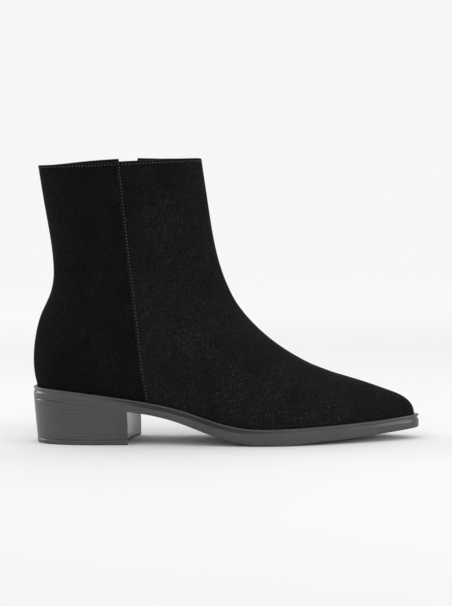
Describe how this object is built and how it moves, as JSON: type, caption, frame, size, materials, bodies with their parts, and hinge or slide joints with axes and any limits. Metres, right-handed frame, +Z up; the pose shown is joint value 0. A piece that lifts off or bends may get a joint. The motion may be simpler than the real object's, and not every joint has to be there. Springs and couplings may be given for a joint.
{
  "type": "ankle boot",
  "caption": "Right suede ankle boot with almond toe, side zip with hinged pull tab, and a moulded sole on a low block heel.",
  "frame": {"origin": "on the floor, under the middle of the boot's plan", "axes": "+X to the toe, +Y to the inner (zip) side, +Z up; the boot stands on heel and forefoot at z = 0"},
  "size_m": [0.2716, 0.0826, 0.2005],
  "materials": {
    "suede": "black suede, matt, short nap",
    "sole_rubber": "dark grey moulded rubber, satin",
    "insole_board": "light grey textile sock over a board",
    "zip_tape": "black woven tape",
    "zip_nylon": "dark grey nylon coil",
    "slider_metal": "dark gunmetal"
  },
  "bodies": {
    "boot": {"upper": "suede", "insole": "insole_board", "outsole": "sole_rubber", "heel": "sole_rubber", "top_lift": "sole_rubber", "zip_tape_front": "zip_tape", "zip_tape_rear": "zip_tape", "zip_chain": "zip_nylon", "zip_slider": "slider_metal"},
    "pull_tab": {"zip_pull": "slider_metal"}
  },
  "joints": [
    {"name": "pull_hinge", "type": "hinge", "parent": "boot", "child": "pull_tab", "pos_m": [-0.06789, 0.03274, 0.18796], "axis": [0.997, -0.013, 0.0768], "range_deg": [0, 165]}
  ]
}
